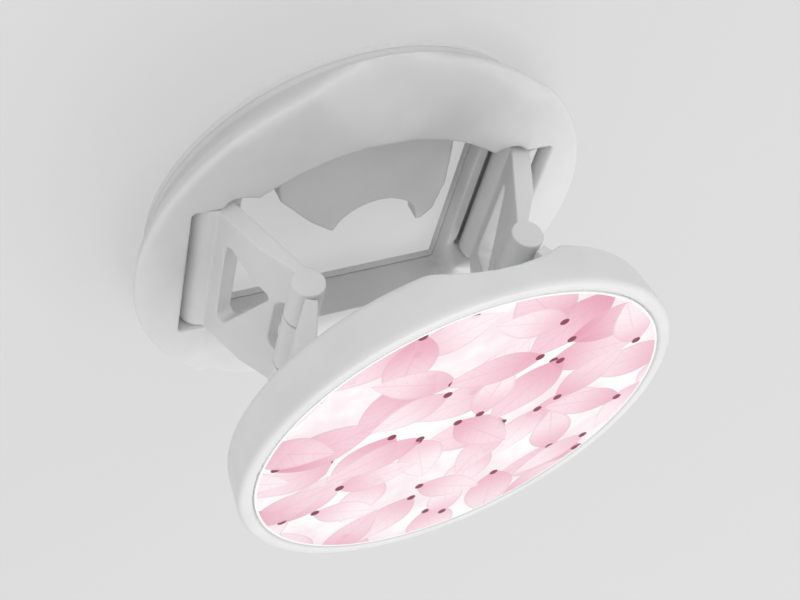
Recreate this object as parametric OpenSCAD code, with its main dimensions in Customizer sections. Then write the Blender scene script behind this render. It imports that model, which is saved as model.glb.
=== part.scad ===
// Folding phone grip: an adhesive base, two pairs of hinged arms with knees
// that fold inwards, and a round disc with a printed face.
// X runs across the hinges, Y along them, and Z away from the phone.
// The grip is drawn pulled out, resting on its adhesive pad at Z = 0.

/* [Base] */
// How far the base reaches out beyond the disc
base_reach = 2; // [1:0.25:3]
// How far the foot of the base sits in from its front edge
foot_inset = 2; // [1.4:0.2:2.6]
// Height of the base, adhesive pad included
base_h = 5.3; // [5.2:0.1:6]
// Height of the upright lip above the pad
lip_h = 0.9; // [0.6:0.1:1.2]
// Thickness of the adhesive pad
pad_t = 0.7; // [0.4:0.1:0.8]
// Distance from the middle to the round side of the base opening
opening_near = 12.6; // [12:0.2:13]
// Distance from the middle to the straight side of the base opening
opening_far = 11.6; // [9:0.2:12]
// Radius of the round side of the base opening
opening_r = 18; // [16:0.5:20]
// Thickness of the shelf inside the opening
shelf_t = 1.2; // [0.8:0.1:1.4]
// Radius of the round notch in the shelf
shelf_notch_r = 4.5; // [3.5:0.1:5]

/* [Disc] */
// Radius of the disc
disc_r = 20; // [19.5:0.25:22]
// Thickness of the disc
disc_h = 4.4; // [4.3:0.1:5]
// Width of the rim around the printed insert
rim_w = 1.4; // [1.2:0.1:2]
// Thickness of the printed insert
print_t = 0.4; // [0.3:0.1:0.5]
// Height of the rim above the insert
rim_step = 0.1; // [0.05:0.05:0.3]

/* [Arms] */
// Distance from the edge of the disc in to each hinge axis
hinge_inset = 5; // [4.8:0.1:5.4]
// Length of an arm between its two axes
arm_l = 11.7; // [11.4:0.1:12]
// Width of the arms along the hinges
arm_w = 16.4; // [15.6:0.2:16.8]
// Thickness of the arms
arm_t = 1.8; // [1.6:0.1:1.9]
// Angle of the arms to the phone when pulled out
open_angle = 67; // [62:1:72]
// Angle of the arms to the phone when folded flat
fold_angle = 11.4; // [11.4:0.2:14]
// Height of the lower hinge axis above the phone
hinge_z = 3.3; // [3.3:0.1:3.4]
// Radius of the thick root of the lower arms
root_r = 1.95; // [1.7:0.05:2]
// Radius of the knee knuckles
knee_r = 1.5; // [1.3:0.1:1.6]
// Width of the middle knuckle of the knee
tab_w = 6.6; // [5:0.2:8]
// Depth of the slot around the middle knuckle
slot_depth = 2.6; // [2.4:0.1:2.8]

/* [Pins] */
// Diameter of the hinge pins
pin_d = 1.2; // [1:0.1:1.3]
// Depth of the pin sockets in the base and the disc
socket_depth = 1.6; // [1:0.1:2]

/* [Clearances] */
// Running clearance around a turning pin
pin_gap = 0.05; // [0.03:0.01:0.08]
// Clearance between moving faces
side_gap = 0.25; // [0.2:0.05:0.4]

/* [Hidden] */
$fn = 96;
eps = 0.01;

plastic = "gainsboro";
steel = "silver";

base_r = disc_r + base_reach;
foot_r = base_r - foot_inset;

// The hinges of the base and the disc lie above each other
hinge_x = disc_r - hinge_inset;

// Heights above the phone
lip_top = pad_t + lip_h;
disc_hinge_z = hinge_z + 2 * arm_l * sin(open_angle);
knee_x = hinge_x - arm_l * cos(open_angle);
knee_z = hinge_z + arm_l * sin(open_angle);

// The disc's back stays clear of the base when the arms lie at fold_angle
fold_rise = 2 * arm_l * sin(fold_angle);
disc_back_drop = fold_rise + hinge_z - base_h - side_gap;
disc_back = disc_hinge_z - disc_back_drop;
disc_front = disc_back + disc_h;
print_floor = disc_front - rim_step - print_t;
print_r = disc_r - rim_w;
print_gap = 0.1;
disc_skin = 0.4;
bay_top = print_floor - disc_skin;

// Pockets that the arms turn in
pocket_half = arm_w / 2 + side_gap;
pocket_x = hinge_x + root_r + 2 * side_gap;
disc_pocket_x = hinge_x + arm_t / 2 + 2 * side_gap;
pocket_floor = hinge_z - root_r - side_gap;
ridge_w = 1.1;
ridge_x = hinge_x - root_r - side_gap - ridge_w;
ridge_top = 2.4;

// Middle of the round notch in the shelf
shelf_notch = [-2.9, 3.6];

// Finger scoops in the base and in the back of the disc
channel_x = hinge_x - 0.9;
channel_w = 8.5;
channel_drop = 0.25;
scoop_r = 14;
base_scoop_run = [opening_near + 0.3, base_r - 0.6];
base_scoop_z = [base_h - channel_drop, lip_top];
disc_scoop_run = [opening_near + 0.7, disc_r - 0.2];
disc_scoop_depth = 1.9;

// Roundings
edge_r = 0.5;
back_r = 0.9;
back_inset = 0.3;
corner_r = 0.6;
slot_corner_r = 1.4;

// The knee pin is moulded into the lower arm, which closes over both its ends
pin_cover = 1.2;
knee_pin_l = arm_w - 2 * pin_cover;

// Arc of points with a centre, a radius and two angles
function arc(c, r, from, to, n = 6) =
    [for (i = [0 : n]) let (a = from + (to - from) * i / n) c + r * [cos(a), sin(a)]];

// Corner of an outline at b, between a and c, replaced by an arc of radius r
function unit(v) = v / norm(v);
function rounded_corner(a, b, c, r, n = 5) =
    let (
        u = unit(a - b),
        v = unit(c - b),
        half = acos(u * v) / 2,
        mid = b + unit(u + v) * r / sin(half),
        p = b + u * r / tan(half) - mid,
        q = b + v * r / tan(half) - mid,
        sweep = 180 - 2 * half,
        turn = (p[0] * q[1] - p[1] * q[0]) > 0 ? 1 : -1,
        start = atan2(p[1], p[0])
    )
    [for (i = [0 : n]) let (t = start + turn * sweep * i / n) mid + r * [cos(t), sin(t)]];

function rounded_outline(points, r) =
    let (k = len(points))
    [for (i = [0 : k - 1])
        for (p = rounded_corner(points[(i + k - 1) % k], points[i], points[(i + 1) % k], r)) p];

// Centred bar along Y with its middle at the origin
module bar_y(d, l) {
    rotate([90, 0, 0]) cylinder(d = d, h = l, center = true, $fn = 48);
}

// Block centred in X and Y that starts at a height
module block(size_x, size_y, z0, z1) {
    translate([-size_x / 2, -size_y / 2, z0]) cube([size_x, size_y, z1 - z0]);
}

// Round-bottomed cut that runs down and outwards from run[0] to run[1]
module scoop(run, heights) {
    slope = atan2(heights[0] - heights[1], run[1] - run[0]);
    translate([0, run[0], heights[0]]) rotate([-slope, 0, 0])
        translate([0, 0, scoop_r]) rotate([-90, 0, 0])
            translate([0, 0, -2 * scoop_r]) cylinder(r = scoop_r, h = 5 * scoop_r, $fn = 160);
}

// Outline of the shelf that reaches into the base opening
module shelf_outline() {
    difference() {
        polygon([
            [9.6, -opening_near], [7.7, -3.5], [4.1, 0.5], [1.6, 2.5], [-0.5, 3.2],
            [-8, 3.2], [-9, 2], [-9.5, -1.6], [-9.3, -4.5], [-8.3, -opening_near]
        ]);
        translate(shelf_notch) circle(r = shelf_notch_r);
    }
}

// Opening through the base: round on one side, straight on the other
module opening_outline() {
    difference() {
        translate([-ridge_x, -opening_near]) square([2 * ridge_x, opening_near + opening_far]);
        difference() {
            translate([-base_r, -base_r]) square([2 * base_r, base_r]);
            translate([0, opening_r - opening_near]) circle(r = opening_r);
        }
    }
}

module adhesive_pad() {
    color("whitesmoke") linear_extrude(pad_t) difference() {
        circle(r = foot_r - 0.4);
        difference() {
            opening_outline();
            shelf_outline();
        }
    }
}

module base_body() {
    rotate_extrude($fn = 160) polygon(concat(
        [[0, pad_t], [foot_r - 0.2, pad_t], [foot_r, pad_t + 0.2], [foot_r, lip_top]],
        [[foot_r + 0.75 * (base_r - foot_r), lip_top + 0.55 * (base_h - lip_top)]],
        arc([base_r - edge_r, base_h - edge_r], edge_r, 0, 90),
        [[0, base_h]]
    ));
}

// Pocket for the root of a lower arm, on the +X side
module root_pocket() {
    translate([hinge_x - root_r - side_gap, -pocket_half, pocket_floor])
        cube([pocket_x - hinge_x + root_r + side_gap, 2 * pocket_half, base_h]);
}

// Blind sockets for both ends of a hinge pin
module pin_sockets() {
    bar_y(pin_d + 2 * pin_gap, 2 * (pocket_half + socket_depth));
}

// Shallow channel over the top of the base that narrows towards the scoops
module channel_outline() {
    side = [
        [channel_x, 0], [channel_x, opening_near - 0.5], [channel_w + 2, base_r - 6],
        [channel_w, base_r - 2], [channel_w, 2 * base_r]
    ];
    for (y = [-1, 1]) polygon(concat(
        [for (p = side) [p[0], y * p[1]]],
        [for (i = [len(side) - 1 : -1 : 0]) [-side[i][0], y * side[i][1]]]
    ));
}

module base_housing() {
    color(plastic) difference() {
        base_body();
        difference() {
            translate([0, 0, -eps]) linear_extrude(base_h + 1) opening_outline();
            translate([0, 0, pad_t]) linear_extrude(shelf_t) shelf_outline();
        }
        // The arms lie in this bay when folded, above a low ridge at each hinge
        block(2 * pocket_x, 2 * pocket_half, ridge_top, base_h + 1);
        for (side = [0, 180]) rotate([0, 0, side]) {
            root_pocket();
            translate([hinge_x, 0, hinge_z]) pin_sockets();
            scoop(base_scoop_run, base_scoop_z);
        }
        translate([0, 0, base_h - channel_drop]) linear_extrude(1) channel_outline();
    }
}

// Side profile of an arm's plate: its outer face tapers to the knee, so that
// the two arms of a leg close onto each other
module plate_profile() {
    taper = tan(fold_angle);
    t = arm_t / 2;
    taper_l = (t + side_gap / 2) / taper;
    polygon([
        [0, -t], [0, t], [arm_l - taper_l, t],
        [arm_l - knee_r, knee_r * taper - side_gap / 2], [arm_l, -side_gap / 2], [arm_l, -t]
    ]);
}

// Flat arm: hinge at the origin, knee at arm_l along X, outer face up
module arm_blank(root) {
    rotate([90, 0, 0]) linear_extrude(arm_w, center = true) plate_profile();
    bar_y(2 * root, arm_w);
    translate([arm_l, 0, 0]) bar_y(2 * knee_r, arm_w);
}

module arm_window() {
    window = rounded_outline([[3.1, -5.4], [8.6, -2.9], [3.2, 6.9]], corner_r);
    translate([0, 0, -2 * arm_t]) linear_extrude(4 * arm_t) polygon(window);
}

// Room for the middle knuckle at the knee of a lower arm
module tab_slot() {
    half = tab_w / 2 + side_gap;
    outline = rounded_outline([
        [arm_l + 2 * knee_r, -half], [arm_l - slot_depth, -half],
        [arm_l - slot_depth, half], [arm_l + 2 * knee_r, half]
    ], slot_corner_r);
    translate([0, 0, -2 * knee_r]) linear_extrude(4 * knee_r) polygon(outline);
}

// Room beside the middle knuckle of an upper arm
module knuckle_cheeks() {
    for (side = [-1, 1])
        translate([arm_l - knee_r - side_gap, side * (arm_w + tab_w) / 2, 0])
            translate([0, -arm_w / 2, -2 * knee_r]) cube([3 * knee_r, arm_w, 4 * knee_r]);
}

module lower_arm() {
    translate([hinge_x, 0, hinge_z]) rotate([0, 180 + open_angle, 0]) mirror([0, 0, 1])
        difference() {
            arm_blank(root_r);
            arm_window();
            tab_slot();
            bar_y(pin_d, 2 * arm_w);
            translate([arm_l, 0, 0]) bar_y(pin_d, knee_pin_l);
        }
}

module upper_arm() {
    translate([hinge_x, 0, disc_hinge_z]) rotate([0, 180 - open_angle, 0])
        difference() {
            arm_blank(arm_t / 2);
            arm_window();
            knuckle_cheeks();
            bar_y(pin_d, 2 * arm_w);
            translate([arm_l, 0, 0]) bar_y(pin_d + 2 * pin_gap, 2 * arm_w);
        }
}

module lower_arm_left() { color(plastic) lower_arm(); }
module lower_arm_right() { color(plastic) rotate([0, 0, 180]) lower_arm(); }
module upper_arm_left() { color(plastic) upper_arm(); }
module upper_arm_right() { color(plastic) rotate([0, 0, 180]) upper_arm(); }

// The end pins reach into the sockets
end_pin_l = 2 * (pocket_half + socket_depth - side_gap / 2);

module base_pin() { translate([hinge_x, 0, hinge_z]) bar_y(pin_d, end_pin_l); }
module knee_pin() { translate([knee_x, 0, knee_z]) bar_y(pin_d, knee_pin_l); }
module disc_pin() { translate([hinge_x, 0, disc_hinge_z]) bar_y(pin_d, end_pin_l); }

module base_pin_left() { color(steel) base_pin(); }
module base_pin_right() { color(steel) rotate([0, 0, 180]) base_pin(); }
module knee_pin_left() { color(steel) knee_pin(); }
module knee_pin_right() { color(steel) rotate([0, 0, 180]) knee_pin(); }
module disc_pin_left() { color(steel) disc_pin(); }
module disc_pin_right() { color(steel) rotate([0, 0, 180]) disc_pin(); }

module disc_body() {
    rotate_extrude($fn = 160) polygon(concat(
        [[0, disc_back], [disc_r - back_inset - back_r, disc_back]],
        arc([disc_r - back_inset - back_r, disc_back + back_r], back_r, -90, -20),
        arc([disc_r - edge_r, disc_front - edge_r], edge_r, 0, 90),
        [[print_r + 2 * print_gap, disc_front], [print_r + print_gap, print_floor], [0, print_floor]]
    ));
}

module disc_housing() {
    color(plastic) difference() {
        disc_body();
        block(2 * disc_pocket_x, 2 * pocket_half, disc_back - 1, bay_top);
        for (side = [0, 180]) rotate([0, 0, side]) {
            translate([hinge_x, 0, disc_hinge_z]) pin_sockets();
            translate([0, 0, 2 * disc_back]) mirror([0, 0, 1])
                scoop(disc_scoop_run, [disc_back, disc_back - disc_scoop_depth]);
        }
    }
}

module printed_insert() {
    color("pink") translate([0, 0, print_floor]) cylinder(r = print_r, h = print_t, $fn = 160);
}

adhesive_pad();
base_housing();
lower_arm_left();
lower_arm_right();
upper_arm_left();
upper_arm_right();
base_pin_left();
base_pin_right();
knee_pin_left();
knee_pin_right();
disc_pin_left();
disc_pin_right();
disc_housing();
printed_insert();
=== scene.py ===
from math import cos, radians, sin, tau

import bpy
from bpy.props import FloatProperty, FloatVectorProperty, PointerProperty
from mathutils import Matrix, Vector


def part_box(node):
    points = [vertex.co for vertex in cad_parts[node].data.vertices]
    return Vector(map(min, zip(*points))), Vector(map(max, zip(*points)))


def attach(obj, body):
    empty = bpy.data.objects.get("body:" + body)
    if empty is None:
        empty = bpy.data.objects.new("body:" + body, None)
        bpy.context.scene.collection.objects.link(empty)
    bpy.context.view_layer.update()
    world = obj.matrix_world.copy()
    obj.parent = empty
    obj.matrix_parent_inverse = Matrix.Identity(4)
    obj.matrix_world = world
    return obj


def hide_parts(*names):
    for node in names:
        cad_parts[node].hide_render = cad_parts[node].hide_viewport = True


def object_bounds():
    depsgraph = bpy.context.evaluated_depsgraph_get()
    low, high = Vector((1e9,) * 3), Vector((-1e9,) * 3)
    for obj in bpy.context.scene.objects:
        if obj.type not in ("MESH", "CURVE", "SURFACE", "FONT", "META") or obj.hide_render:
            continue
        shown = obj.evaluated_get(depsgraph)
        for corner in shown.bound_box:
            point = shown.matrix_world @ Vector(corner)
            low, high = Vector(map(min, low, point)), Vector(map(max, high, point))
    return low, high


bl_info = {
    "name": "Folding phone grip",
    "version": (1, 0, 0),
    "blender": (4, 5, 0),
    "location": "View3D > Sidebar > Grip",
    "description": "Finishes the pieces of a folding phone grip and sets them on a plain studio floor",
    "category": "Object",
}

MM = 0.001
MERGE_GAP = 0.002 * MM   # points of a CAD mesh closer than this are one point
RELAX_STEPS = 3          # rounds of smoothing that soften every moulded edge
RUN_OUT_STEPS = 300      # rounds of smoothing where a scoop runs out into the flange
SENSOR = 36              # width of the camera's sensor in millimetres
SEEN_SKY = 0.9           # brightness of the sky to the camera and in reflections

# Name, place and size in metres, and power in watts.
LAMPS = (
    ("top_softbox", (-0.22, 0.32, 0.75), (0.5, 0.5), 2.6),
    ("left_softbox", (0.5, -0.6, 0.3), (0.3, 0.5), 0.7),
    ("right_softbox", (-0.45, -0.65, 0.3), (0.25, 0.5), 0.7),
)

# Layers of printed leaves: spacing, length, width and shift in millimetres, and the share of
# places that hold a leaf.
LEAF_LAYERS = (
    (9.0, 9.4, 5.8, 3.0, 1.0),
    (9.6, 9.8, 5.6, 18.0, 1.0),
    (9.2, 9.2, 4.8, 41.0, 0.95),
    (10.4, 10.0, 4.4, 87.0, 0.9),
)

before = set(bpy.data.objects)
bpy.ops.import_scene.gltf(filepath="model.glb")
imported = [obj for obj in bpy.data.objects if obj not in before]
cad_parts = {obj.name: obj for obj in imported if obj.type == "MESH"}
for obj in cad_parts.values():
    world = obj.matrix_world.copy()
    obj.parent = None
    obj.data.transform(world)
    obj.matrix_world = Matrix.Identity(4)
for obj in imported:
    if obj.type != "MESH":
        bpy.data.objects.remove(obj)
cad_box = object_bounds()
print_low, print_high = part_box("printed_insert")
print_radius = (print_high.x - print_low.x) / 2
print_centre = ((print_low + print_high) / 2).xy

ARMS = {
    "lower_arm_left": "left_lower_leg",
    "upper_arm_left": "left_upper_leg",
    "lower_arm_right": "right_lower_leg",
    "upper_arm_right": "right_upper_leg",
}
PINS = [node for node in sorted(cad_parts) if "_pin_" in node]


def colour_property(name, about, value):
    return FloatVectorProperty(
        name=name, description=about, default=value, subtype="COLOR", size=3, min=0, max=1
    )


def length_property(name, about, value):
    return FloatProperty(
        name=name, description=about, default=value, unit="LENGTH", min=0, precision=5
    )


def share_property(name, about, value):
    return FloatProperty(name=name, description=about, default=value, min=0, max=1)


def angle_property(name, about, value):
    return FloatProperty(name=name, description=about, default=radians(value), subtype="ANGLE")


class GripSizes(bpy.types.PropertyGroup):
    """Sizes of the finish."""

    shell_cell: length_property("Shell cell", "Cell of the surface of the base and the disc", 0.2 * MM)
    arm_cell: length_property("Arm cell", "Cell of the surface of the arms", 0.13 * MM)
    kept_share: share_property("Kept share", "Share of the faces that is kept", 0.4)
    opening_radius: length_property(
        "Opening radius", "Radius of the round side of the base opening", 18 * MM)
    opening_reach: length_property(
        "Opening reach", "Distance from the middle to that side", 12.6 * MM)
    blend_step: length_property("Blend step", "Width over which the scoops' smoothing sets in", 2 * MM)
    scoop_depth: length_property("Scoop depth", "Height of the scoops in the base", 3.3 * MM)
    scoop_half_width: length_property("Scoop half width", "Half the width of the scoops", 14.6 * MM)
    print_edge: length_property("Print edge", "Rounding of the printed insert's edge", 0.1 * MM)
    print_margin: length_property("Print margin", "Unprinted border of the insert", 0.22 * MM)
    grain: length_property("Grain", "Size of the grain of the moulded plastic", 0.16 * MM)


class GripColours(bpy.types.PropertyGroup):
    """Colours of the finish."""

    plastic: colour_property("Plastic", "Moulded plastic", (0.74, 0.74, 0.745))
    steel: colour_property("Steel", "Hinge pins", (0.60, 0.60, 0.61))
    pad: colour_property("Pad", "Adhesive pad", (0.84, 0.84, 0.835))
    border: colour_property("Print border", "Unprinted border of the print", (0.93, 0.92, 0.925))
    paper: colour_property("Print ground", "Palest ground of the print", (0.95, 0.92, 0.93))
    wash: colour_property("Print wash", "Pink wash on the ground", (0.88, 0.75, 0.79))
    leaf_pale: colour_property("Pale leaves", "Palest tips of the leaves", (0.94, 0.84, 0.87))
    leaf: colour_property("Leaves", "Middle pink of the leaves", (0.84, 0.54, 0.63))
    leaf_deep: colour_property("Deep leaves", "Strongest pink of the leaves", (0.72, 0.27, 0.38))
    leaf_line: colour_property("Leaf outline", "Line round a leaf", (0.68, 0.48, 0.54))
    berry: colour_property("Berries", "Berries at the leaves' feet", (0.21, 0.012, 0.045))
    floor: colour_property("Floor", "Studio floor", (0.70, 0.70, 0.70))


class GripStudio(bpy.types.PropertyGroup):
    """The camera and the light."""

    azimuth: angle_property("Azimuth", "Camera's turn about the grip", 26.3)
    elevation: angle_property("Elevation", "Camera's height above the floor", 29.5)
    roll: angle_property("Roll", "Camera's turn about its own view", 153.3)
    distance: length_property("Distance", "Camera's distance from the grip", 123.2 * MM)
    view_width: length_property("View width", "Width seen at the grip", 71.9 * MM)
    aim_up: length_property("Aim", "Shift of the camera towards the picture's top", 0.7 * MM)
    floor_size: length_property("Floor size", "Side of the floor", 3.0)
    sky: share_property("Sky", "Strength of the light from all round", 0.72)
    glow: share_property("Glow", "Share of the floor that shows as a flat tone", 0.65)


def only(obj):
    """Deselects everything, then selects obj and makes it active."""
    bpy.ops.object.select_all(action="DESELECT")
    obj.select_set(True)
    bpy.context.view_layer.objects.active = obj


def settle(obj, name):
    """Applies the place of obj, so that it sits at the origin, and names it."""
    only(obj)
    bpy.ops.object.transform_apply(location=True, rotation=True, scale=True)
    obj.name = name
    obj.data.name = name
    return obj


def finish_with(piece, name, kind, **settings):
    """Adds a modifier to piece, sets it and applies it."""
    modifier = piece.modifiers.new(name, kind)
    for field, value in settings.items():
        setattr(modifier, field, value)
    only(piece)
    bpy.ops.object.modifier_apply(modifier=name)


def merged_copy(cad_node, name):
    """A copy of a CAD node with its triangles joined up, which takes the node's place."""
    piece = bpy.data.objects.new(name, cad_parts[cad_node].data.copy())
    bpy.context.collection.objects.link(piece)
    only(piece)
    bpy.ops.object.mode_set(mode="EDIT")
    bpy.ops.mesh.select_all(action="SELECT")
    bpy.ops.mesh.remove_doubles(threshold=MERGE_GAP)
    bpy.ops.object.mode_set(mode="OBJECT")
    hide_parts(cad_node)
    return piece


def moulded(cad_node, name, cell, share, blended=None):
    """A copy of a CAD node with the soft edges of a moulding.

    The surface is rebuilt in cells of one size, relaxed, and thinned out to a
    share of its faces. blended gives each point's share in a longer relaxing,
    where scoops run out into the surface round them.
    """
    piece = merged_copy(cad_node, name)
    finish_with(piece, "cells", "REMESH", mode="VOXEL", voxel_size=cell, use_smooth_shade=True)
    if blended:
        run_out = piece.vertex_groups.new(name="run_out")
        for point in piece.data.vertices:
            share_here = blended(point.co)
            if share_here > 0:
                run_out.add([point.index], share_here, "REPLACE")
        finish_with(
            piece, "blend", "SMOOTH", factor=0.5, iterations=RUN_OUT_STEPS, vertex_group="run_out")
    finish_with(piece, "relax", "SMOOTH", factor=0.5, iterations=RELAX_STEPS)
    finish_with(piece, "thin", "DECIMATE", ratio=share)
    return piece


def new_material(name):
    """An empty material with a Principled shader, and its node tree."""
    material = bpy.data.materials.new(name)
    material.use_nodes = True
    tree = material.node_tree
    return material, tree, tree.nodes["Principled BSDF"]


def node(tree, kind, inputs=None, **settings):
    """Adds a node, sets its fields, and fills or links its inputs."""
    made = tree.nodes.new(kind)
    for field, value in settings.items():
        setattr(made, field, value)
    for key, value in (inputs or {}).items():
        if isinstance(value, bpy.types.NodeSocket):
            tree.links.new(value, made.inputs[key])
        else:
            made.inputs[key].default_value = value
    return made


def math(tree, operation, a, b=None, c=None, clamp=False):
    """A Math node's result."""
    values = {i: v for i, v in enumerate((a, b, c)) if v is not None}
    return node(tree, "ShaderNodeMath", values, operation=operation, use_clamp=clamp).outputs[0]


def blend(tree, share, a, b):
    """Colour a turning into colour b as share goes from 0 to 1."""
    made = node(tree, "ShaderNodeMix", data_type="RGBA")
    for key, value in (("Factor", share), ("A", a), ("B", b)):
        socket = next(
            s for s in made.inputs if s.name == key and (key == "Factor" or s.type == "RGBA"))
        if isinstance(value, bpy.types.NodeSocket):
            tree.links.new(value, socket)
        else:
            socket.default_value = value
    return next(s for s in made.outputs if s.type == "RGBA")


def ramp(tree, value, low, high):
    """0 where value is under low, 1 where it is over high, and smooth between."""
    return node(
        tree, "ShaderNodeMapRange", {"Value": value, "From Min": low, "From Max": high},
        interpolation_type="SMOOTHSTEP",
    ).outputs["Result"]


def vector_math(tree, operation, a, b):
    """A Vector Math node's result."""
    return node(tree, "ShaderNodeVectorMath", {0: a, 1: b}, operation=operation).outputs[0]


def scaled(tree, vector, factor):
    """A vector made longer by a factor."""
    inputs = {0: vector, "Scale": factor}
    return node(tree, "ShaderNodeVectorMath", inputs, operation="SCALE").outputs[0]


def bump(tree, shader, height, strength, distance):
    """Feeds a bump of one height into a shader's normal."""
    made = node(tree, "ShaderNodeBump", {"Height": height, "Strength": strength, "Distance": distance})
    tree.links.new(made.outputs[0], shader.inputs["Normal"])


def shade(colour, factor):
    """A colour made lighter or darker, as a socket takes it."""
    return tuple(min(1.0, part * factor) for part in colour) + (1,)


def millimetres(tree):
    """Object coordinates in millimetres."""
    where = node(tree, "ShaderNodeTexCoord").outputs["Object"]
    return scaled(tree, where, 1 / MM)


def new_group(name, inputs, outputs):
    """A shader node group with its named sockets."""
    tree = bpy.data.node_groups.new(name, "ShaderNodeTree")
    for label, kind, value in inputs:
        socket = tree.interface.new_socket(name=label, in_out="INPUT", socket_type=kind)
        if value is not None:
            socket.default_value = value
    for label, kind in outputs:
        tree.interface.new_socket(name=label, in_out="OUTPUT", socket_type=kind)
    return tree, tree.nodes.new("NodeGroupInput"), tree.nodes.new("NodeGroupOutput")


def use_group(tree, name, inputs):
    """Places a shader node group in a material."""
    made = tree.nodes.new("ShaderNodeGroup")
    made.node_tree = bpy.data.node_groups[name]
    for key, value in inputs.items():
        if isinstance(value, bpy.types.NodeSocket):
            tree.links.new(value, made.inputs[key])
        else:
            made.inputs[key].default_value = value
    return made


FLOAT, VECTOR, COLOUR = "NodeSocketFloat", "NodeSocketVector", "NodeSocketColor"


def grain_group():
    """Fine grain of a moulded or foamed surface, with slow cloudy changes over it."""
    if "Surface grain" in bpy.data.node_groups:
        return
    tree, given, made = new_group(
        "Surface grain",
        [("Place", VECTOR, None), ("Grain size", FLOAT, 0.15), ("Cloud size", FLOAT, 6.0)],
        [("Height", FLOAT), ("Cloud", FLOAT)],
    )
    fine = node(tree, "ShaderNodeTexNoise", {
        "Vector": given.outputs["Place"],
        "Scale": math(tree, "DIVIDE", 1.0, given.outputs["Grain size"]),
        "Detail": 2.0, "Roughness": 0.55,
    })
    slow = node(tree, "ShaderNodeTexNoise", {
        "Vector": given.outputs["Place"],
        "Scale": math(tree, "DIVIDE", 1.0, given.outputs["Cloud size"]),
        "Detail": 3.0, "Roughness": 0.5,
    })
    tree.links.new(fine.outputs["Fac"], made.inputs["Height"])
    tree.links.new(slow.outputs["Fac"], made.inputs["Cloud"])


def leaf_group():
    """One layer of scattered leaves, each with a berry at its foot."""
    if "Leaf layer" in bpy.data.node_groups:
        return
    tree, given, made = new_group(
        "Leaf layer",
        [("Place", VECTOR, None), ("Spacing", FLOAT, 11.0), ("Length", FLOAT, 10.0),
         ("Width", FLOAT, 5.0), ("Shift", FLOAT, 0.0), ("Share", FLOAT, 1.0)],
        [("Leaves", FLOAT), ("Along", FLOAT), ("Across", FLOAT), ("Veins", FLOAT),
         ("Berries", FLOAT), ("Chance", FLOAT)],
    )

    def times(a, b):
        return math(tree, "MULTIPLY", a, b)

    def less(a, b):
        return math(tree, "SUBTRACT", a, b)

    def off(value, low, high):
        """1 where value is under low, 0 where it is over high."""
        return less(1.0, ramp(tree, value, low, high))

    # One leaf to each cell, turned and sized by chance
    flat = vector_math(tree, "MULTIPLY", given.outputs["Place"], (1, 1, 0))
    offset = node(tree, "ShaderNodeCombineXYZ", {
        "X": given.outputs["Shift"], "Y": times(given.outputs["Shift"], 0.37),
    }).outputs[0]
    place = vector_math(tree, "ADD", flat, offset)
    cells = node(tree, "ShaderNodeTexVoronoi", {
        "Vector": place, "Scale": math(tree, "DIVIDE", 1.0, given.outputs["Spacing"]),
        "Randomness": 0.35,
    }, voronoi_dimensions="2D")
    local = vector_math(tree, "SUBTRACT", place, cells.outputs["Position"])
    chance = node(tree, "ShaderNodeSeparateColor", {0: cells.outputs["Color"]})
    turned = node(tree, "ShaderNodeVectorRotate", {
        "Vector": local, "Angle": times(chance.outputs["Blue"], tau),
    }, rotation_type="Z_AXIS").outputs[0]
    parts = node(tree, "ShaderNodeSeparateXYZ", {0: turned})
    x, side = parts.outputs["X"], math(tree, "ABSOLUTE", parts.outputs["Y"])

    # Outline: widest near the foot, pointed at both ends
    size = math(tree, "MULTIPLY_ADD", chance.outputs["Green"], 0.25, 0.75)
    half = times(times(given.outputs["Length"], 0.5), size)
    wide = times(times(given.outputs["Width"], 0.5), size)
    reach = math(tree, "DIVIDE", x, half)
    along = math(tree, "MULTIPLY_ADD", reach, 0.5, 0.5)
    bulge = less(1.0, times(reach, reach))
    taper = math(tree, "MULTIPLY_ADD", reach, -0.25, 1.0)
    edge = times(wide, times(bulge, taper))
    chosen = math(tree, "LESS_THAN", chance.outputs["Red"], given.outputs["Share"])
    inside = off(less(side, edge), -0.05, 0.05)
    across = math(tree, "DIVIDE", side, math(tree, "MAXIMUM", edge, 0.01))

    # A midrib and slanting side veins
    midrib = off(side, 0.03, 0.1)
    rung = math(tree, "FRACT", math(tree, "MULTIPLY_ADD", less(x, side), 0.85, 20.0))
    rib = off(math(tree, "ABSOLUTE", less(rung, 0.5)), 0.02, 0.09)
    veins = math(tree, "MAXIMUM", midrib, times(rib, 0.55))

    # A berry at the foot
    foot = math(tree, "ADD", x, times(half, 0.92))
    from_berry = math(tree, "SQRT", math(tree, "ADD", times(foot, foot), times(side, side)))
    berry = off(from_berry, 0.36, 0.46)
    for label, value in (
        ("Leaves", times(inside, chosen)), ("Along", along), ("Across", across), ("Veins", veins),
        ("Berries", times(berry, chosen)), ("Chance", chance.outputs["Green"]),
    ):
        tree.links.new(value, made.inputs[label])


def plastic_material():
    """Satin white moulded plastic with a fine mould grain."""
    if "satin moulded plastic" in bpy.data.materials:
        return bpy.data.materials["satin moulded plastic"]
    grain_group()
    colour, sizes = bpy.context.scene.grip_colours.plastic, bpy.context.scene.grip_sizes
    material, tree, shader = new_material("satin moulded plastic")
    grain = use_group(tree, "Surface grain", {
        "Place": millimetres(tree), "Grain size": sizes.grain / MM, "Cloud size": 7.0})
    height, cloud = grain.outputs["Height"], grain.outputs["Cloud"]
    tint = blend(tree, ramp(tree, cloud, 0.3, 0.7), shade(colour, 0.965), shade(colour, 1.03))
    rough = math(tree, "MULTIPLY_ADD", cloud, 0.16, 0.3)
    tree.links.new(tint, shader.inputs["Base Color"])
    tree.links.new(math(tree, "MULTIPLY_ADD", height, 0.08, rough), shader.inputs["Roughness"])
    bump(tree, shader, height, 0.12, 0.02 * MM)
    shader.inputs["IOR"].default_value = 1.5
    return material


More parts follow.
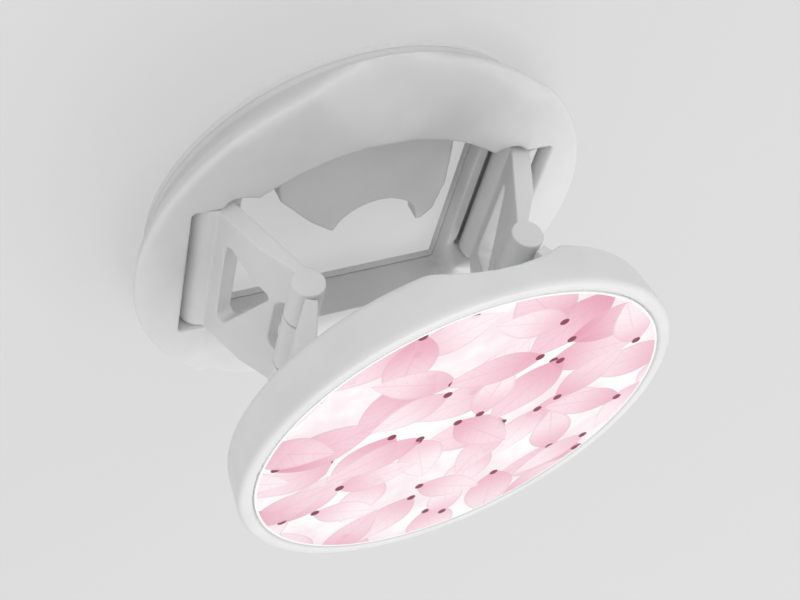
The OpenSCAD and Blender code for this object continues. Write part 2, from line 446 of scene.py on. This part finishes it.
def steel_material():
    """Drawn steel wire, streaked along its length."""
    colour = bpy.context.scene.grip_colours.steel
    material, tree, shader = new_material("drawn steel wire")
    along = node(tree, "ShaderNodeMapping", {"Vector": millimetres(tree), "Scale": (9.0, 0.35, 9.0)})
    streaks = node(tree, "ShaderNodeTexNoise", {
        "Vector": along.outputs[0], "Scale": 1.0, "Detail": 3.0}).outputs["Fac"]
    tint = blend(tree, streaks, shade(colour, 0.8), shade(colour, 1.12))
    tree.links.new(tint, shader.inputs["Base Color"])
    tree.links.new(math(tree, "MULTIPLY_ADD", streaks, 0.2, 0.2), shader.inputs["Roughness"])
    bump(tree, shader, streaks, 0.15, 0.01 * MM)
    shader.inputs["Metallic"].default_value = 1.0
    return material


def pad_material():
    """Pale closed-cell foam tape."""
    grain_group()
    colour = bpy.context.scene.grip_colours.pad
    material, tree, shader = new_material("foam adhesive")
    grain = use_group(tree, "Surface grain", {
        "Place": millimetres(tree), "Grain size": 0.12, "Cloud size": 3.0})
    height, cloud = grain.outputs["Height"], grain.outputs["Cloud"]
    tint = blend(tree, ramp(tree, height, 0.35, 0.65), shade(colour, 0.97), shade(colour, 1.03))
    tree.links.new(tint, shader.inputs["Base Color"])
    tree.links.new(math(tree, "MULTIPLY_ADD", cloud, 0.2, 0.6), shader.inputs["Roughness"])
    bump(tree, shader, height, 0.12, 0.02 * MM)
    return material


def leaf_layer(tree, place, ground, spacing, length, width, shift, share):
    """Lays one layer of leaves and berries over a ground, and gives the new ground and the berries."""
    colours = bpy.context.scene.grip_colours
    layer = use_group(tree, "Leaf layer", {
        "Place": place, "Spacing": spacing, "Length": length, "Width": width, "Shift": shift,
        "Share": share}).outputs
    middle = shade(colours.leaf, 1)
    pale = blend(tree, layer["Chance"], shade(colours.leaf_pale, 1), middle)
    deep = blend(tree, layer["Chance"], middle, shade(colours.leaf_deep, 1))
    tint = math(tree, "SUBTRACT", 1.0, ramp(tree, layer["Along"], 0.0, 0.75))
    leaf = blend(tree, tint, pale, deep)
    leaf = blend(tree, math(tree, "MULTIPLY", layer["Veins"], 0.4), leaf, deep)
    rim = math(tree, "MULTIPLY", ramp(tree, layer["Across"], 0.8, 1.0), 0.45)
    leaf = blend(tree, rim, leaf, shade(colours.leaf_line, 1))
    ground = blend(tree, math(tree, "MULTIPLY", layer["Leaves"], 0.92), ground, leaf)
    return blend(tree, layer["Berries"], ground, shade(colours.berry, 1)), layer["Berries"]


def print_material():
    """Pink leaves and dark berries printed on a white ground, under a clear satin film."""
    leaf_group()
    grain_group()
    colours, sizes = bpy.context.scene.grip_colours, bpy.context.scene.grip_sizes
    material, tree, shader = new_material("printed film")
    place = millimetres(tree)
    cloud = node(tree, "ShaderNodeTexNoise", {
        "Vector": place, "Scale": 0.16, "Detail": 3.0, "Roughness": 0.6}).outputs["Fac"]
    ground = blend(tree, ramp(tree, cloud, 0.35, 0.65), shade(colours.paper, 1), shade(colours.wash, 1))
    berries = 0.0
    for layer in LEAF_LAYERS:
        ground, more = leaf_layer(tree, place, ground, *layer)
        berries = math(tree, "MAXIMUM", berries, more)
    middle = (print_centre.x / MM, print_centre.y / MM, 0)
    level = vector_math(tree, "MULTIPLY", vector_math(tree, "SUBTRACT", place, middle), (1, 1, 0))
    out = node(tree, "ShaderNodeVectorMath", {0: level}, operation="LENGTH").outputs["Value"]
    edge = (print_radius - sizes.print_margin) / MM
    printed = blend(tree, ramp(tree, out, edge - 0.03, edge + 0.03), ground, shade(colours.border, 1))
    tree.links.new(printed, shader.inputs["Base Color"])
    tree.links.new(math(tree, "MULTIPLY_ADD", berries, -0.08, 0.56), shader.inputs["Roughness"])
    grain = use_group(tree, "Surface grain", {"Place": place, "Grain size": 0.3, "Cloud size": 9.0})
    bump(tree, shader, grain.outputs["Height"], 0.06, 0.02 * MM)
    shader.inputs["Specular IOR Level"].default_value = 0.3
    shader.inputs["Coat Weight"].default_value = 0.05
    shader.inputs["Coat Roughness"].default_value = 0.4
    return material


def dress(obj, material):
    """Gives obj one material all over."""
    if obj.material_slots:
        for held in obj.material_slots:
            held.material = material
    else:
        obj.data.materials.append(material)


class GRIP_OT_base(bpy.types.Operator):
    """Round the edges of the base and give it satin plastic"""

    bl_idname = "grip.base"
    bl_label = "Base"

    def execute(self, context):
        sizes = context.scene.grip_sizes
        scoop_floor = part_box("base_housing")[1].z - sizes.scoop_depth

        def on_scoop(point):
            """How far a point lies beyond the opening's round edge, as a share of one step."""
            out = Vector((point.x, abs(point.y) + sizes.opening_radius - sizes.opening_reach)).length
            step = (out - sizes.opening_radius) / sizes.blend_step
            if point.z < scoop_floor or abs(point.x) > sizes.scoop_half_width:
                return 0
            return min(1, max(0, step))

        shell = moulded("base_housing", "base_shell", sizes.shell_cell, sizes.kept_share, on_scoop)
        dress(shell, plastic_material())
        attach(shell, "base")
        return {"FINISHED"}


class GRIP_OT_disc(bpy.types.Operator):
    """Round the edges of the disc and give it satin plastic"""

    bl_idname = "grip.disc"
    bl_label = "Disc"

    def execute(self, context):
        sizes = context.scene.grip_sizes
        shell = moulded("disc_housing", "disc_shell", sizes.shell_cell, sizes.kept_share)
        dress(shell, plastic_material())
        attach(shell, "disc")
        return {"FINISHED"}


class GRIP_OT_arms(bpy.types.Operator):
    """Round the edges of the four hinged arms and give them satin plastic"""

    bl_idname = "grip.arms"
    bl_label = "Arms"

    def execute(self, context):
        sizes = context.scene.grip_sizes
        for cad_node, body in ARMS.items():
            arm = moulded(cad_node, "moulded_" + cad_node, sizes.arm_cell, sizes.kept_share)
            dress(arm, plastic_material())
            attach(arm, body)
        return {"FINISHED"}


class GRIP_OT_pins(bpy.types.Operator):
    """Give the hinge pins a drawn steel finish"""

    bl_idname = "grip.pins"
    bl_label = "Pins"

    def execute(self, context):
        steel = steel_material()
        for pin in PINS:
            dress(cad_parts[pin], steel)
        return {"FINISHED"}


class GRIP_OT_pad(bpy.types.Operator):
    """Give the adhesive pad a foam finish"""

    bl_idname = "grip.pad"
    bl_label = "Adhesive pad"

    def execute(self, context):
        dress(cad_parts["adhesive_pad"], pad_material())
        return {"FINISHED"}


class GRIP_OT_print(bpy.types.Operator):
    """Print the face of the disc"""

    bl_idname = "grip.print"
    bl_label = "Printed face"

    def execute(self, context):
        film = merged_copy("printed_insert", "printed_film")
        finish_with(
            film, "edge", "BEVEL", width=context.scene.grip_sizes.print_edge, segments=3,
            limit_method="ANGLE", harden_normals=True)
        bpy.ops.object.shade_smooth_by_angle(angle=radians(30))
        dress(film, print_material())
        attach(film, "disc")
        return {"FINISHED"}


def softbox(target, name, place, size, power):
    """A rectangular lamp that faces target."""
    bpy.ops.object.light_add(type="AREA", location=place)
    lamp = bpy.context.object
    lamp.name = name
    lamp.data.shape = "RECTANGLE"
    lamp.data.size, lamp.data.size_y = size
    lamp.data.energy = power
    lamp.rotation_euler = (Vector(place) - target).to_track_quat("Z", "Y").to_euler()


def floor_material(colour, glow):
    """Plain floor with a trace of grain.

    What the camera sees of it is partly a flat tone, so that shadows on it stay weak, while the
    grip gets the light of an ordinary floor.
    """
    material, tree, shader = new_material("studio floor")
    speckle = node(tree, "ShaderNodeTexNoise", {
        "Vector": millimetres(tree), "Scale": 0.8, "Detail": 2.0}).outputs["Fac"]
    flat = math(tree, "MULTIPLY", node(tree, "ShaderNodeLightPath").outputs["Is Camera Ray"], glow)
    plain = blend(tree, speckle, shade(colour, 0.994), shade(colour, 1.006))
    tree.links.new(blend(tree, flat, plain, (0, 0, 0, 1)), shader.inputs["Base Color"])
    shader.inputs["Emission Color"].default_value = shade(colour, 1)
    tree.links.new(flat, shader.inputs["Emission Strength"])
    shader.inputs["Roughness"].default_value = 0.8
    shader.inputs["Specular IOR Level"].default_value = 0.1
    return material


class GRIP_OT_stage(bpy.types.Operator):
    """Set the camera, the lamps, the sky and the floor"""

    bl_idname = "grip.stage"
    bl_label = "Studio"

    def execute(self, context):
        studio = context.scene.grip_studio
        centre = (cad_box[0] + cad_box[1]) / 2
        self.camera(context, studio, centre)
        self.light(context, studio, centre)
        bpy.ops.mesh.primitive_plane_add(size=studio.floor_size, location=(0, 0, 0))
        floor = settle(bpy.context.object, "studio_floor")
        dress(floor, floor_material(context.scene.grip_colours.floor, studio.glow))
        return {"FINISHED"}

    def camera(self, context, studio, centre):
        """A camera at the photographed angle, turned about its own view."""
        a, e, r = studio.azimuth, studio.elevation, studio.roll
        back = Vector((sin(a) * cos(e), -cos(a) * cos(e), sin(e)))
        level = Vector((cos(a), sin(a), 0))
        right = cos(r) * level + sin(r) * back.cross(level)
        up = back.cross(right)
        bpy.ops.object.camera_add(location=(0, 0, 0))
        camera = bpy.context.object
        camera.name = "studio_camera"
        turn = Matrix((right, up, back)).transposed().to_4x4()
        place = centre + back * studio.distance + up * studio.aim_up
        camera.matrix_world = Matrix.Translation(place) @ turn
        camera.data.sensor_width = SENSOR
        camera.data.lens = SENSOR * studio.distance / studio.view_width
        camera.data.clip_start, camera.data.clip_end = 0.01, 10
        context.scene.camera = camera

    def light(self, context, studio, centre):
        """Three lamps and a white sky, brighter to the camera and in reflections."""
        for lamp in LAMPS:
            softbox(centre, *lamp)
        world = bpy.data.worlds.new("studio sky")
        context.scene.world = world
        world.use_nodes = True
        tree = world.node_tree
        sky = tree.nodes["Background"]
        sky.inputs["Color"].default_value = (1, 1, 1, 1)
        path = node(tree, "ShaderNodeLightPath").outputs
        mirrored = math(tree, "MAXIMUM", path["Is Glossy Ray"], path["Is Transmission Ray"])
        seen = math(tree, "MAXIMUM", path["Is Camera Ray"], mirrored)
        strength = math(tree, "MULTIPLY_ADD", seen, SEEN_SKY - studio.sky, studio.sky)
        tree.links.new(strength, sky.inputs["Strength"])
        context.scene.view_settings.view_transform = "Standard"


OPERATORS = (
    GRIP_OT_stage, GRIP_OT_base, GRIP_OT_pad, GRIP_OT_arms, GRIP_OT_pins, GRIP_OT_disc, GRIP_OT_print,
)
GROUPS = {"grip_sizes": GripSizes, "grip_colours": GripColours, "grip_studio": GripStudio}


class GRIP_PT_panel(bpy.types.Panel):
    """Lists the pieces of the grip and their settings"""

    bl_idname = "GRIP_PT_panel"
    bl_label = "Folding phone grip"
    bl_space_type = "VIEW_3D"
    bl_region_type = "UI"
    bl_category = "Grip"

    def draw(self, context):
        for operator in OPERATORS:
            self.layout.operator(operator.bl_idname)
        for group in GROUPS:
            settings = getattr(context.scene, group)
            box = self.layout.box()
            for field in settings.__annotations__:
                box.prop(settings, field)


def register():
    for made in (*GROUPS.values(), *OPERATORS, GRIP_PT_panel):
        bpy.utils.register_class(made)
    for name, group in GROUPS.items():
        setattr(bpy.types.Scene, name, PointerProperty(type=group))


def unregister():
    for name in GROUPS:
        delattr(bpy.types.Scene, name)
    for made in (GRIP_PT_panel, *reversed(OPERATORS), *reversed(GROUPS.values())):
        bpy.utils.unregister_class(made)


def main():
    register()
    for operator in OPERATORS:
        family, piece = operator.bl_idname.split(".")
        getattr(getattr(bpy.ops, family), piece)()


if __name__ == "__main__":
    main()
